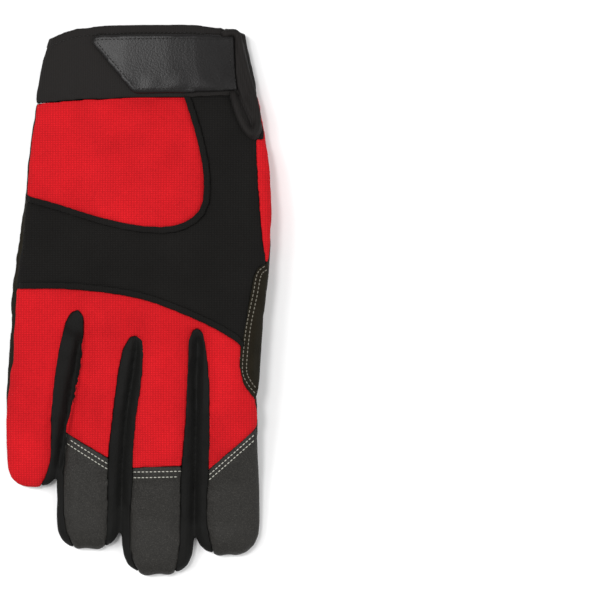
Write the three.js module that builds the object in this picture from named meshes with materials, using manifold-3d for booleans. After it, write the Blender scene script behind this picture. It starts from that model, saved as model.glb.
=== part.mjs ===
// A right-hand mechanic glove lying palm down, with the thumb folded under the palm.
// Millimetres. +X is the thumb side, +Y the wrist end, +Z up. The table is at z = 0.
import * as THREE from 'three';
import { mergeVertices } from 'three/addons/utils/BufferGeometryUtils.js';
import Module from 'manifold-3d';

const wasm = await Module();
wasm.setup();

// Driving dimensions
const GLOVE_LENGTH = 245; // wrist hem to the middle fingertip
const GLOVE_WIDTH = 118.6; // little finger's edge to the thumb-side edge
const WALL = 2.0; // cloth, foam and suede together
const SEAM_GAP = 0.3; // between two pieces that are sewn to each other
const HAND_RISE = 9.0; // the hand's back above its side seam
const HAND_DROP = 7.2; // the palm below the side seam
const FINGER_RISE = 7.2;
const FINGER_DROP = 6.4;
const THUMB_THICKNESS = 12.0; // the folded thumb, flat on the table
const PAD_THICKNESS = 1.4; // palm and heel patches
const CELL_SEAM = 1.4; // sewn channel between two cells of the heel patch
const STRAP_THICKNESS = 2.0;
const LIP_THICKNESS = 1.6; // rolled edge of the wrist slit
const SLIT_WIDTH = 1.4;
const HEM_HEIGHT = 4.0;
const HEM_THICKNESS = 1.0;
const PIPING_WIDTH = 2.4;
const PIPING_HEIGHT = 1.2;

// Worked out from the driving dimensions
const PALM_REST = PAD_THICKNESS + SEAM_GAP; // the palm is held this high by its patches
const FLATTENED = 0.12; // share of the palm's depth that is pressed flat where it rests
const LIFT = THUMB_THICKNESS + SEAM_GAP + FLATTENED * HAND_DROP; // the thumb lifts the palm this much
const SKY = 6 * (HAND_RISE + HAND_DROP); // cutters reach this far up and down

// Facets round a section
const HAND_SIDES = 24;
const FINGER_SIDES = 12;
const INNER_FINGER_SIDES = 10;

// Sections of the hand from the wrist to the knuckles. along is a share of the glove's
// length from the wrist, left and right are shares of its width, rise and drop are
// shares of the hand's heights.
const HAND_SECTIONS = [
  { along: -0.03, left: 0.174, right: 0.901, rise: 0.7, drop: 0.85 },
  { along: 0.025, left: 0.172, right: 0.901, rise: 0.72, drop: 0.85 },
  { along: 0.065, left: 0.144, right: 0.92, rise: 0.74, drop: 0.9 },
  { along: 0.13, left: 0.119, right: 0.95, rise: 0.78, drop: 0.95 },
  { along: 0.2, left: 0.101, right: 0.976, rise: 0.86, drop: 1 },
  { along: 0.267, left: 0.084, right: 0.991, rise: 0.94, drop: 1 },
  { along: 0.336, left: 0.065, right: 0.998, rise: 1, drop: 1 },
  { along: 0.39, left: 0.047, right: 1, rise: 1, drop: 1 },
  { along: 0.435, left: 0.034, right: 0.993, rise: 1, drop: 1 },
  { along: 0.481, left: 0.024, right: 0.981, rise: 0.98, drop: 1 },
  { along: 0.52, left: 0.021, right: 0.972, rise: 0.93, drop: 0.97 },
];
const KNUCKLE_END = 0.58; // the hand's own tube closes here, inside the fingers' roots
const HOLLOW_END = 0.54; // the hand's hollow ends flat here, where the fingers' hollows go on

// Sections of each finger from the knuckle to where its round tip starts. rise and drop
// are shares of the finger's heights, and tip is where the finger ends.
const FINGERS = {
  little: {
    tip: 0.84,
    sections: [
      { along: 0.481, left: 0.039, right: 0.3, rise: 0.8, drop: 0.8 },
      { along: 0.533, left: 0.022, right: 0.297, rise: 1, drop: 0.95 },
      { along: 0.58, left: 0.015, right: 0.289, rise: 1, drop: 1 },
      { along: 0.634, left: 0.004, right: 0.257, rise: 0.95, drop: 1 },
      { along: 0.69, left: 0.002, right: 0.237, rise: 0.9, drop: 1 },
      { along: 0.743, left: 0.003, right: 0.216, rise: 0.88, drop: 1 },
      { along: 0.784, left: 0.006, right: 0.201, rise: 0.85, drop: 1 },
    ],
  },
  ring: {
    tip: 0.954,
    sections: [
      { along: 0.481, left: 0.271, right: 0.509, rise: 0.8, drop: 0.8 },
      { along: 0.533, left: 0.278, right: 0.513, rise: 1.04, drop: 0.95 },
      { along: 0.58, left: 0.276, right: 0.509, rise: 1.05, drop: 1 },
      { along: 0.634, left: 0.265, right: 0.479, rise: 1, drop: 1 },
      { along: 0.69, left: 0.243, right: 0.459, rise: 0.96, drop: 1 },
      { along: 0.752, left: 0.22, right: 0.446, rise: 0.95, drop: 1 },
      { along: 0.817, left: 0.2, right: 0.436, rise: 0.95, drop: 1 },
      { along: 0.896, left: 0.196, right: 0.431, rise: 0.92, drop: 1 },
    ],
  },
  middle: {
    tip: 1,
    sections: [
      { along: 0.481, left: 0.472, right: 0.737, rise: 0.8, drop: 0.8 },
      { along: 0.544, left: 0.476, right: 0.733, rise: 1.06, drop: 0.95 },
      { along: 0.589, left: 0.487, right: 0.729, rise: 1.08, drop: 1 },
      { along: 0.64, left: 0.487, right: 0.718, rise: 1.04, drop: 1 },
      { along: 0.701, left: 0.466, right: 0.716, rise: 1, drop: 1 },
      { along: 0.757, left: 0.453, right: 0.712, rise: 1, drop: 1 },
      { along: 0.831, left: 0.442, right: 0.709, rise: 0.98, drop: 1 },
      { along: 0.896, left: 0.438, right: 0.707, rise: 0.96, drop: 1 },
      { along: 0.941, left: 0.441, right: 0.705, rise: 0.93, drop: 1 },
    ],
  },
  index: {
    tip: 0.963,
    sections: [
      { along: 0.481, left: 0.703, right: 0.968, rise: 0.8, drop: 0.8 },
      { along: 0.544, left: 0.711, right: 0.968, rise: 1.04, drop: 0.95 },
      { along: 0.589, left: 0.724, right: 0.962, rise: 1.05, drop: 1 },
      { along: 0.64, left: 0.724, right: 0.956, rise: 1.02, drop: 1 },
      { along: 0.672, left: 0.723, right: 0.947, rise: 1, drop: 1 },
      { along: 0.701, left: 0.722, right: 0.95, rise: 1, drop: 1 },
      { along: 0.757, left: 0.719, right: 0.95, rise: 0.98, drop: 1 },
      { along: 0.831, left: 0.716, right: 0.952, rise: 0.96, drop: 1 },
      { along: 0.905, left: 0.713, right: 0.953, rise: 0.93, drop: 1 },
    ],
  },
};

// Sections of the thumb and its root. low and high are heights above the table, as
// shares of the thumb's thickness: the root reaches up into the hand.
const THUMB_SECTIONS = [
  { along: 0.17, left: 0.718, right: 0.94, low: 0.4, high: 1.0 },
  { along: 0.228, left: 0.688, right: 0.972, low: 0.15, high: 1.4 },
  { along: 0.3, left: 0.666, right: 0.983, low: 0, high: 1.75 },
  { along: 0.363, left: 0.644, right: 0.979, low: 0, high: 1.8 },
  { along: 0.408, left: 0.614, right: 0.938, low: 0, high: 1.8 },
  { along: 0.453, left: 0.576, right: 0.886, low: 0, high: 1.5 },
  { along: 0.499, left: 0.554, right: 0.845, low: 0, high: 1.0 },
  { along: 0.535, left: 0.55, right: 0.823, low: 0, high: 1.0 },
  { along: 0.571, left: 0.554, right: 0.817, low: 0, high: 1.0 },
  { along: 0.603, left: 0.562, right: 0.804, low: 0, high: 0.97 },
];
const THUMB_TIP = 0.665;
const THUMB_FREE = 0.481; // past here the thumb lies free under the palm

// Outlines seen from above, as [across, along] shares of the width and the length
const MOUTH = [
  [-0.1, 0.04], [0.174, 0.023], [0.218, 0.014], [0.271, 0.007], [0.375, 0.002], [0.517, 0],
  [0.7, 0], [0.778, 0.004], [0.845, 0.007], [0.882, 0.012], [0.92, 0.022], [1.1, 0.036],
];
const CUFF_SEAM = [
  [-0.1, 0.145], [0.114, 0.141], [0.271, 0.135], [0.487, 0.131], [0.696, 0.13], [1.1, 0.123],
];
const UPPER_RED_EDGE = [
  [0.69, 0.128], [0.707, 0.15], [0.737, 0.199], [0.758, 0.242], [0.768, 0.282], [0.763, 0.325],
  [0.729, 0.353], [0.67, 0.37], [0.595, 0.376], [0.487, 0.372], [0.345, 0.356], [0.211, 0.336],
  [0.076, 0.319], [-0.1, 0.295],
];
const LOWER_RED_EDGE = [
  [-0.1, 0.478], [0.047, 0.477], [0.215, 0.477], [0.36, 0.483], [0.483, 0.492], [0.58, 0.505],
  [0.674, 0.523], [0.748, 0.539], [0.826, 0.558], [0.905, 0.584],
];
const SADDLE_BACK = [
  [1.1, 0.4], [0.994, 0.429], [0.95, 0.441], [0.935, 0.457], [0.92, 0.499], [0.901, 0.553],
  [0.888, 0.587], [0.884, 0.618], [0.899, 0.65], [0.942, 0.677], [1.1, 0.683],
];
const SADDLE_PALM = [
  [1.1, 0.35], [0.987, 0.372], [0.946, 0.396], [0.916, 0.416], [0.888, 0.439], [0.853, 0.464],
  [0.83, 0.491], [0.815, 0.52], [0.845, 0.538], [0.879, 0.562], [0.886, 0.611], [0.901, 0.64],
  [0.935, 0.661], [1.1, 0.672],
];
const SLIT = [[0.813, -0.03], [0.841, 0.065], [0.879, 0.127], [0.915, 0.168], [0.934, 0.19]];
const SLIT_LIPS = [
  [0.834, 0.02], [0.845, 0.123], [0.858, 0.147], [0.875, 0.175], [0.894, 0.193], [0.912, 0.204],
  [0.938, 0.21], [0.955, 0.204], [0.965, 0.19], [0.961, 0.168], [0.951, 0.146], [0.935, 0.119],
  [0.916, 0.079], [0.899, 0.04], [0.892, 0.02],
];
const THUMB_SLIVER = [[0.943, 0.208], [0.948, 0.267], [0.958, 0.336], [0.968, 0.388], [0.981, 0.43]];
const STRAP = [
  [0.329, 0.032], [0.341, 0.023], [0.364, 0.02], [0.594, 0.018], [0.772, 0.019], [0.856, 0.022],
  [0.862, 0.065], [0.871, 0.118], [0.701, 0.122], [0.498, 0.124], [0.481, 0.121],
];
const SIDE_STRIPS = {
  little_ring: [
    [0.121, 0.853], [0.159, 0.813], [0.174, 0.787], [0.177, 0.702], [0.187, 0.647], [0.208, 0.584],
    [0.231, 0.54], [0.25, 0.523], [0.278, 0.516], [0.297, 0.528], [0.298, 0.553], [0.285, 0.618],
    [0.271, 0.652], [0.252, 0.697], [0.233, 0.734], [0.226, 0.77], [0.218, 0.824], [0.218, 0.878],
    [0.231, 0.92], [0.252, 0.943], [0.271, 0.961], [0.203, 0.968], [0.174, 0.932], [0.174, 0.86],
  ],
  ring_middle: [
    [0.375, 0.961], [0.382, 0.938], [0.386, 0.905], [0.39, 0.806], [0.396, 0.759], [0.41, 0.708],
    [0.427, 0.64], [0.448, 0.589], [0.476, 0.565], [0.502, 0.563], [0.521, 0.573], [0.522, 0.598],
    [0.515, 0.643], [0.494, 0.705], [0.483, 0.761], [0.478, 0.831], [0.468, 0.887], [0.468, 0.941],
    [0.478, 0.972], [0.498, 0.992], [0.513, 1.012], [0.427, 1.005], [0.405, 0.979],
  ],
  middle_index: [
    [0.625, 1.012], [0.644, 0.986], [0.659, 0.941], [0.662, 0.831], [0.668, 0.788], [0.685, 0.703],
    [0.692, 0.629], [0.696, 0.571], [0.711, 0.554], [0.726, 0.55], [0.744, 0.558], [0.759, 0.598],
    [0.769, 0.652], [0.769, 0.715], [0.765, 0.815], [0.756, 0.86], [0.756, 0.905], [0.771, 0.938],
    [0.785, 0.968], [0.718, 0.979], [0.681, 1.005],
  ],
};
// Where each leather fingertip starts: a slanting line on the back, a straight one on the palm
const TIP_CAPS = {
  ring: {
    back: [[0.188, 0.84], [0.215, 0.735], [0.386, 0.784], [0.4385, 0.8]],
    palm: 0.826,
    left: 0.188,
    right: 0.4385,
  },
  middle: {
    back: [[0.4385, 0.803], [0.666, 0.799], [0.7115, 0.798]],
    palm: 0.836,
    left: 0.4385,
    right: 0.7115,
  },
  index: {
    back: [[0.7115, 0.829], [0.938, 0.734], [1.1, 0.66]],
    palm: 0.791,
    left: 0.7115,
    right: 1.1,
  },
};
const THUMB_BALL_EDGE = [
  [0.629, 0.1], [0.659, 0.15], [0.67, 0.181], [0.67, 0.251], [0.662, 0.302], [0.644, 0.372],
  [0.632, 0.441], [0.619, 0.52],
];
const THUMB_BACK_EDGE = [
  [0.619, 0.45], [0.616, 0.555], [0.623, 0.591], [0.644, 0.629], [0.674, 0.654], [0.7, 0.7],
];
const HEEL_PAD = [
  [0.629, 0.222], [0.584, 0.199], [0.513, 0.181], [0.435, 0.175], [0.341, 0.177], [0.263, 0.184],
  [0.192, 0.199], [0.144, 0.226], [0.112, 0.26], [0.092, 0.305], [0.082, 0.347], [0.082, 0.381],
  [0.1, 0.403], [0.155, 0.419], [0.248, 0.437], [0.341, 0.452], [0.442, 0.457], [0.569, 0.461],
  [0.584, 0.39], [0.61, 0.3],
];
const HEEL_SEAMS = {
  inner: [[0.33, 0.1], [0.349, 0.177], [0.405, 0.244], [0.483, 0.295], [0.614, 0.361], [0.7, 0.4]],
  outer: [
    [0, 0.235], [0.08, 0.275], [0.192, 0.313], [0.3, 0.34], [0.442, 0.373], [0.599, 0.408], [0.7, 0.43],
  ],
};
const PALM_PAD = [
  [0.558, 0.481], [0.341, 0.464], [0.226, 0.452], [0.121, 0.438], [0.076, 0.439], [0.052, 0.453],
  [0.043, 0.475], [0.045, 0.522], [0.065, 0.54], [0.106, 0.547], [0.233, 0.544], [0.276, 0.552],
  [0.298, 0.59], [0.31, 0.64], [0.345, 0.663], [0.39, 0.663], [0.42, 0.647], [0.436, 0.591],
  [0.461, 0.573], [0.508, 0.575], [0.545, 0.608], [0.575, 0.66], [0.621, 0.674], [0.668, 0.663],
  [0.69, 0.6], [0.681, 0.517], [0.629, 0.486],
];

const MATERIALS = {
  red_knit: { color: 0xcf2029, roughness: 0.9 },
  black_neoprene: { color: 0x2b2927, roughness: 0.85 },
  black_knit: { color: 0x232220, roughness: 0.92 },
  black_leather: { color: 0x353432, roughness: 0.5 },
  tip_leather: { color: 0x3a3936, roughness: 0.65 },
  black_spandex: { color: 0x26292a, roughness: 0.7 },
  palm_suede: { color: 0x1e1a12, roughness: 0.95 },
  pad_grip: { color: 0x323333, roughness: 0.6 },
};

// Shares of the glove's plan in millimetres
const acrossToX = (across) => (across - 0.5) * GLOVE_WIDTH;
const alongToY = (along) => (0.5 - along) * GLOVE_LENGTH;

// 0 before start, 1 after end, with a smooth slope between
function ramp(value, start, end) {
  const t = THREE.MathUtils.clamp((value - start) / (end - start), 0, 1);
  return t * t * (3 - 2 * t);
}

// Where the slopes of the lying glove start and end, as shares of its width or length
const SLOPES = {
  liftAcross: [0.2, 0.52], // from the little finger's side up onto the thumb
  liftFromWrist: [0.1, 0.36],
  liftToTips: [0.67, 0.9],
  patchesToTips: [0.68, 0.82], // from the palm's patches down to the table
  handToFingers: [0.48, 0.6],
};

// How high the cloth lies over its own thumb
function liftAt(across, along) {
  const sideways = ramp(across, ...SLOPES.liftAcross);
  const lengthways = ramp(along, ...SLOPES.liftFromWrist) * (1 - ramp(along, ...SLOPES.liftToTips));
  return LIFT * sideways * lengthways;
}

// The height that the cloth rests at, and the side seam's height above the table
const restAt = (along) => PALM_REST * (1 - ramp(along, ...SLOPES.patchesToTips));
function seamAt(across, along) {
  const drop = THREE.MathUtils.lerp(HAND_DROP, FINGER_DROP, ramp(along, ...SLOPES.handToFingers));
  return restAt(along) + (1 - FLATTENED) * drop + liftAt(across, along);
}

const power = (value, exponent) => Math.sign(value) * Math.abs(value) ** exponent;

// How round a section is: 1 is an ellipse, and less is flatter with fuller corners
const SIDE_BLUNTNESS = 0.8;
const BACK_BLUNTNESS = 0.85;
const PALM_BLUNTNESS = 0.4;
const THUMB_BLUNTNESS = 0.7;
const THUMB_FULLNESS = 1.04; // presses the thumb's flats into what lies above and below
const TIP_ROUNDNESS = 2.4; // 2 is a half circle, and more is blunter

// The corners of a section lie on both sides of the seam, so its flats are moved out to the side
const sideReach = (sides) => 1 / Math.cos(Math.PI / sides) ** SIDE_BLUNTNESS;

// One section as a ring of points. grow moves it outwards, and the underside is flat
// where it would sink into what it rests on.
function handRing(row, shrink, grow, sides, riseSize, dropSize) {
  const middle = (acrossToX(row.left) + acrossToX(row.right)) / 2;
  const half = ((acrossToX(row.right) - acrossToX(row.left)) / 2) * shrink + grow;
  const rise = row.rise * riseSize * shrink + grow;
  const drop = row.drop * dropSize * shrink + grow;
  return Array.from({ length: sides }, (_, i) => {
    const angle = (2 * Math.PI * (i + 0.5)) / sides;
    const x = middle + half * sideReach(sides) * power(Math.cos(angle), SIDE_BLUNTNESS);
    const upper = Math.sin(angle) > 0;
    const height = upper ? rise : drop;
    const seam = seamAt(x / GLOVE_WIDTH + 0.5, row.along);
    const z = seam + height * power(Math.sin(angle), upper ? BACK_BLUNTNESS : PALM_BLUNTNESS);
    return new THREE.Vector3(x, alongToY(row.along), Math.max(z, restAt(row.along) - grow));
  });
}

function thumbRing(row, shrink, grow, sides) {
  const middle = (acrossToX(row.left) + acrossToX(row.right)) / 2;
  const half = ((acrossToX(row.right) - acrossToX(row.left)) / 2) * shrink + grow;
  const centre = ((row.low + row.high) / 2) * THUMB_THICKNESS;
  const height = ((row.high - row.low) / 2) * THUMB_THICKNESS * shrink + grow;
  return Array.from({ length: sides }, (_, i) => {
    const angle = (2 * Math.PI * (i + 0.5)) / sides;
    const x = middle + half * sideReach(sides) * power(Math.cos(angle), SIDE_BLUNTNESS);
    const z = centre + height * power(Math.sin(angle), THUMB_BLUNTNESS) * THUMB_FULLNESS;
    const flat = THREE.MathUtils.clamp(z, -grow, centre + height);
    return new THREE.Vector3(x, alongToY(row.along), flat);
  });
}

// The last rows of a tube, whose size falls to nothing as a blunt round end
const ROUND_END = [0.35, 0.65, 0.87, 0.98];
function endRows(last, end) {
  return ROUND_END.map((t) => ({
    row: { ...last, along: THREE.MathUtils.lerp(last.along, end, t) },
    shrink: (1 - t ** TIP_ROUNDNESS) ** (1 / TIP_ROUNDNESS),
  }));
}

// A closed tube through rings of points, closed by a fan over each end
function tube(rings) {
  const sides = rings[0].length;
  const points = rings.flat();
  const faces = [];
  for (let r = 0; r + 1 < rings.length; r += 1) {
    for (let i = 0; i < sides; i += 1) {
      const a = r * sides + i;
      const b = r * sides + ((i + 1) % sides);
      faces.push(a, b, a + sides, b, b + sides, a + sides);
    }
  }
  [0, rings.length - 1].forEach((r) => {
    const centre = rings[r].reduce((sum, p) => sum.add(p), new THREE.Vector3()).divideScalar(sides);
    points.push(centre);
    for (let i = 0; i < sides; i += 1) {
      const a = r * sides + i;
      const b = r * sides + ((i + 1) % sides);
      const fan = r === 0 ? [b, a] : [a, b];
      faces.push(points.length - 1, ...fan);
    }
  });
  const geometry = new THREE.BufferGeometry().setFromPoints(points);
  geometry.setIndex(faces);
  return solidOf(geometry);
}

// A closed geometry as a solid that can be joined and cut
function solidOf(geometry) {
  geometry.deleteAttribute('normal');
  geometry.deleteAttribute('uv');
  const merged = mergeVertices(geometry, 1e-5);
  return new wasm.Manifold(
    new wasm.Mesh({
      numProp: 3,
      vertProperties: new Float32Array(merged.attributes.position.array),
      triVerts: new Uint32Array(merged.index.array),
    }),
  );
}

// The whole glove's skin moved outwards by grow, or inwards where grow is negative.
// A coarse skin has fewer facets, for the hollow inside.
function gloveSkin(grow, coarse = false) {
  const fingerSides = coarse ? INNER_FINGER_SIDES : FINGER_SIDES;
  const rows = (sections, end) => {
    const last = sections[sections.length - 1];
    const reach = end + grow / GLOVE_LENGTH;
    const round = endRows(last, reach).filter((_, i) => !coarse || i % 2 === 0);
    return [...sections.map((row) => ({ row, shrink: 1 })), ...round];
  };
  const lastHand = HAND_SECTIONS[HAND_SECTIONS.length - 1];
  const hollowRows = [...HAND_SECTIONS, { ...lastHand, along: HOLLOW_END }];
  const handRows = coarse
    ? hollowRows.map((row) => ({ row, shrink: 1 }))
    : rows(HAND_SECTIONS, KNUCKLE_END);
  const hand = tube(
    handRows.map(({ row, shrink }) =>
      handRing(row, shrink, grow * shrink, HAND_SIDES, HAND_RISE, HAND_DROP),
    ),
  );
  const fingers = Object.values(FINGERS).map(({ sections, tip }) =>
    tube(
      rows(sections, tip).map(({ row, shrink }) =>
        handRing(row, shrink, grow * shrink, fingerSides, FINGER_RISE, FINGER_DROP),
      ),
    ),
  );
  const thumb = tube(
    rows(THUMB_SECTIONS, THUMB_TIP).map(({ row, shrink }) =>
      thumbRing(row, shrink, grow * shrink, fingerSides),
    ),
  );
  return [...fingers, thumb].reduce((whole, solid) => whole.add(solid), hand);
}

// Outline points in millimetres, moved outwards by grow
const pointOf = ([across, along]) => new THREE.Vector2(acrossToX(across), alongToY(along));
const SHARPEST = 0.5; // a sharper corner isn't drawn out further than this one
function plan(outline, grow = 0) {
  const points = outline.map(pointOf);
  const turn = THREE.ShapeUtils.isClockWise(points) ? -1 : 1;
  return points.map((point, i) => {
    const before = points[(i + points.length - 1) % points.length];
    const after = points[(i + 1) % points.length];
    const one = point.clone().sub(before).normalize();
    const two = after.clone().sub(point).normalize();
    const bisector = one.add(two).normalize();
    const lean = Math.max(SHARPEST, bisector.dot(two));
    return new THREE.Vector2(bisector.y, -bisector.x).multiplyScalar((turn * grow) / lean).add(point);
  });
}

// An upright block with that outline, from low to high
function prism(points, low = -SKY, high = SKY) {
  const options = { depth: high - low, bevelEnabled: false };
  const geometry = new THREE.ExtrudeGeometry(new THREE.Shape(points), options);
  return solidOf(geometry.translate(0, 0, low));
}
const block = (outline, grow = 0, low = -SKY, high = SKY) => prism(plan(outline, grow), low, high);

// The part of the plan on one side of an open line: towards the fingers or the wrist
const pastLine = (line) => [...line, [1.1, 1.1], [-0.1, 1.1]];
const beforeLine = (line) => [...line, [1.1, -0.1], [-0.1, -0.1]];

// A band of one width along an open line
const STEPS_PER_CORNER = 1.5;
function band(line, width, shift = 0) {
  const curve = new THREE.SplineCurve(line.map(pointOf));
  const points = curve.getPoints(Math.round(line.length * STEPS_PER_CORNER));
  const side = (offset) =>
    points.map((point, i) => {
      const ahead = points[Math.min(i + 1, points.length - 1)];
      const behind = points[Math.max(i - 1, 0)];
      const way = ahead.clone().sub(behind).normalize();
      return new THREE.Vector2(-way.y, way.x).multiplyScalar(offset).add(point);
    });
  return prism([...side(shift + width / 2), ...side(shift - width / 2).reverse()]);
}

// Everything below the side seam's surface, moved up by raise
function belowSeam(raise) {
  const columns = 12;
  const rowsAlong = 18;
  const points = [];
  const faces = [];
  for (let j = 0; j <= rowsAlong; j += 1) {
    for (let i = 0; i <= columns; i += 1) {
      const across = THREE.MathUtils.lerp(-0.2, 1.2, i / columns);
      const along = THREE.MathUtils.lerp(-0.15, 1.15, j / rowsAlong);
      const seam = new THREE.Vector3(acrossToX(across), alongToY(along), seamAt(across, along) + raise);
      points.push(seam, seam.clone().setZ(-SKY));
    }
  }
  const at = (i, j) => 2 * (j * (columns + 1) + i);
  const quad = (a, b, c, d) => faces.push(a, b, c, a, c, d);
  for (let j = 0; j < rowsAlong; j += 1) {
    for (let i = 0; i < columns; i += 1) {
      quad(at(i, j), at(i, j + 1), at(i + 1, j + 1), at(i + 1, j));
      quad(at(i, j) + 1, at(i + 1, j) + 1, at(i + 1, j + 1) + 1, at(i, j + 1) + 1);
    }
    quad(at(0, j), at(0, j) + 1, at(0, j + 1) + 1, at(0, j + 1));
    quad(at(columns, j), at(columns, j + 1), at(columns, j + 1) + 1, at(columns, j) + 1);
  }
  for (let i = 0; i < columns; i += 1) {
    quad(at(i, 0), at(i + 1, 0), at(i + 1, 0) + 1, at(i, 0) + 1);
    quad(at(i, rowsAlong), at(i, rowsAlong) + 1, at(i + 1, rowsAlong) + 1, at(i + 1, rowsAlong));
  }
  const geometry = new THREE.BufferGeometry().setFromPoints(points);
  geometry.setIndex(faces);
  return solidOf(geometry);
}

const lowHalf = belowSeam(0);
const lowHalfLess = belowSeam(-SEAM_GAP);
const lowHalfMore = belowSeam(SEAM_GAP);

// A region of the glove's back, or of its palm side, under one outline
const onBack = (outline, grow) => block(outline, grow).subtract(grow > 0 ? lowHalfLess : lowHalf);
const onPalm = (outline, grow) => block(outline, grow).intersect(grow > 0 ? lowHalfMore : lowHalf);

// The free part of the thumb, with a little room round it
const THUMB_ROOM = 1.2;
const thumbOutline = () => {
  const free = THUMB_SECTIONS.filter(({ along }) => along > THUMB_FREE);
  const corner = { ...free[0], along: THUMB_FREE };
  const end = { ...free[free.length - 1], along: THUMB_TIP };
  const rows = [corner, ...free, end];
  const leftEdge = rows.map(({ left, along }) => [left, along]);
  const rightEdge = rows.map(({ right, along }) => [right, along]);
  return [...leftEdge, ...rightEdge.reverse()];
};
const freeThumb = block(thumbOutline(), THUMB_ROOM);
const pastCrotch = (grow) => block(pastLine([[-0.1, THUMB_FREE], [1.1, THUMB_FREE]]), grow);
const underPalm = (height) => block(pastLine([[-0.1, -0.1], [1.1, -0.1]]), 0, -SKY, height);
const thumbZone = (grow) =>
  freeThumb.intersect(pastCrotch(grow)).intersect(underPalm(THUMB_THICKNESS + SEAM_GAP / 2));

// The largest body of a cut piece, without crumbs that a cut leaves at its edge
function largest(solid) {
  return solid.decompose().reduce((best, body) => (body.volume() > best.volume() ? body : best));
}

// Cuts the skin into its panels in sewing order: each takes its region and leaves a seam gap
const pieces = {};
const outside = gloveSkin(0);
const mouth = block(pastLine(MOUTH));
let cloth = outside.subtract(gloveSkin(-WALL, true)).intersect(mouth);
function cutPanel(name, region, material) {
  pieces[name] = { solid: cloth.intersect(region(0)), material };
  cloth = cloth.subtract(region(SEAM_GAP));
}

const slit = band(SLIT, SLIT_WIDTH);
cutPanel('cuff_band', (grow) => block(beforeLine(CUFF_SEAM), grow), 'black_neoprene');
pieces.cuff_band.solid = pieces.cuff_band.solid.subtract(slit.subtract(lowHalf));
cutPanel(
  'thumb_saddle',
  (grow) => onBack(SADDLE_BACK, grow).add(onPalm(SADDLE_PALM, grow)).subtract(thumbZone(0)),
  'tip_leather',
);

const thumbBackArea = [...THUMB_BACK_EDGE, [1.1, 0.7], [1.1, 0.45]];
const thumbBallArea = [...THUMB_BALL_EDGE, [1.1, 0.52], [1.1, 0.1]];
const thumbBack = (grow) =>
  thumbZone(grow).intersect(block(thumbBackArea, grow, -SKY, THUMB_THICKNESS / 2 + grow));
const thumbBall = (grow) => onPalm(thumbBallArea, grow).subtract(pastCrotch(-grow));
const thumbSliver = (grow) => onBack([...THUMB_SLIVER, [1.1, 0.43], [1.1, 0.208]], grow);
cutPanel(
  'thumb_back_panel',
  (grow) => thumbBack(grow).add(thumbBall(grow)).add(thumbSliver(grow)),
  'red_knit',
);
cutPanel('thumb_front_panel', (grow) => thumbZone(grow), 'palm_suede');

Object.entries(SIDE_STRIPS).forEach(([between, outline]) => {
  cutPanel(`side_strip_${between}`, (grow) => block(outline, grow), 'black_spandex');
});
Object.entries(TIP_CAPS).forEach(([finger, { back, palm, left, right }]) => {
  const end = [[right, 1.1], [left, 1.1]];
  const backTip = [...back, ...end];
  const palmTip = [[left, palm], [right, palm], ...end];
  const region = (grow) => onBack(backTip, grow).add(onPalm(palmTip, grow));
  cutPanel(`fingertip_${finger}`, region, 'tip_leather');
});
cutPanel('back_panel_upper', (grow) => onBack(beforeLine([...UPPER_RED_EDGE].reverse()), grow), 'red_knit');
cutPanel('back_panel_lower', (grow) => onBack(pastLine(LOWER_RED_EDGE), grow), 'red_knit');
cutPanel('palm_panel', (grow) => (grow > 0 ? lowHalfMore : lowHalf), 'palm_suede');
pieces.knuckle_band = { solid: cloth.subtract(slit.subtract(lowHalf)), material: 'black_knit' };

// Pieces that are sewn on top of the cloth: a layer over the skin under an outline
const base = gloveSkin(SEAM_GAP);
const layer = (thickness) => gloveSkin(SEAM_GAP + thickness).subtract(base);
function addLayer(name, thickness, region, material) {
  pieces[name] = { solid: layer(thickness).intersect(region), material };
}
const above = (region) => region.subtract(lowHalf);
const strapArea = above(block(STRAP));
addLayer('wrist_strap', STRAP_THICKNESS, strapArea, 'black_leather');
const hemLine = MOUTH.map(([across, along]) => [across, along + HEM_HEIGHT / GLOVE_LENGTH]);
const hemArea = mouth.subtract(block(pastLine(hemLine))).subtract(above(slit));
addLayer('cuff_hem', HEM_THICKNESS, hemArea.subtract(above(block(STRAP, SEAM_GAP))), 'black_neoprene');
const lipArea = block(SLIT_LIPS)
  .subtract(block(beforeLine(hemLine), SEAM_GAP))
  .subtract(slit)
  .subtract(block(STRAP, SEAM_GAP));
addLayer('slit_binding', LIP_THICKNESS, above(lipArea), 'black_neoprene');
const pipingShift = PIPING_WIDTH / 2;
addLayer(
  'upper_piping',
  PIPING_HEIGHT,
  above(band(UPPER_RED_EDGE, PIPING_WIDTH, -pipingShift)).subtract(block(beforeLine(CUFF_SEAM), SEAM_GAP)),
  'black_knit',
);
addLayer(
  'lower_piping',
  PIPING_HEIGHT,
  above(band(LOWER_RED_EDGE, PIPING_WIDTH, pipingShift)),
  'black_knit',
);

// Patches under the palm. The thumb and its ball stay clear of them.
const thumbBallRoom = block(thumbBallArea, SEAM_GAP + PAD_THICKNESS).subtract(pastCrotch(0));
const padArea = (outline) =>
  block(outline).intersect(lowHalf).subtract(thumbZone(SEAM_GAP)).subtract(thumbBallRoom);
addLayer('palm_pad', PAD_THICKNESS, padArea(PALM_PAD), 'pad_grip');
const heelArea = padArea(HEEL_PAD);
const innerSide = (grow) => block([...HEEL_SEAMS.inner, [1.1, 0.4], [1.1, 0]], grow);
const outerSide = (grow) => block([...HEEL_SEAMS.outer, [0.7, 0.6], [-0.1, 0.6]], grow);
const halfChannel = CELL_SEAM / 2;
addLayer('heel_pad_inner', PAD_THICKNESS, heelArea.intersect(innerSide(-halfChannel)), 'pad_grip');
addLayer('heel_pad_outer', PAD_THICKNESS, heelArea.intersect(outerSide(-halfChannel)), 'pad_grip');
addLayer(
  'heel_pad_middle',
  PAD_THICKNESS,
  heelArea.subtract(innerSide(halfChannel)).subtract(outerSide(halfChannel)),
  'pad_grip',
);

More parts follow.
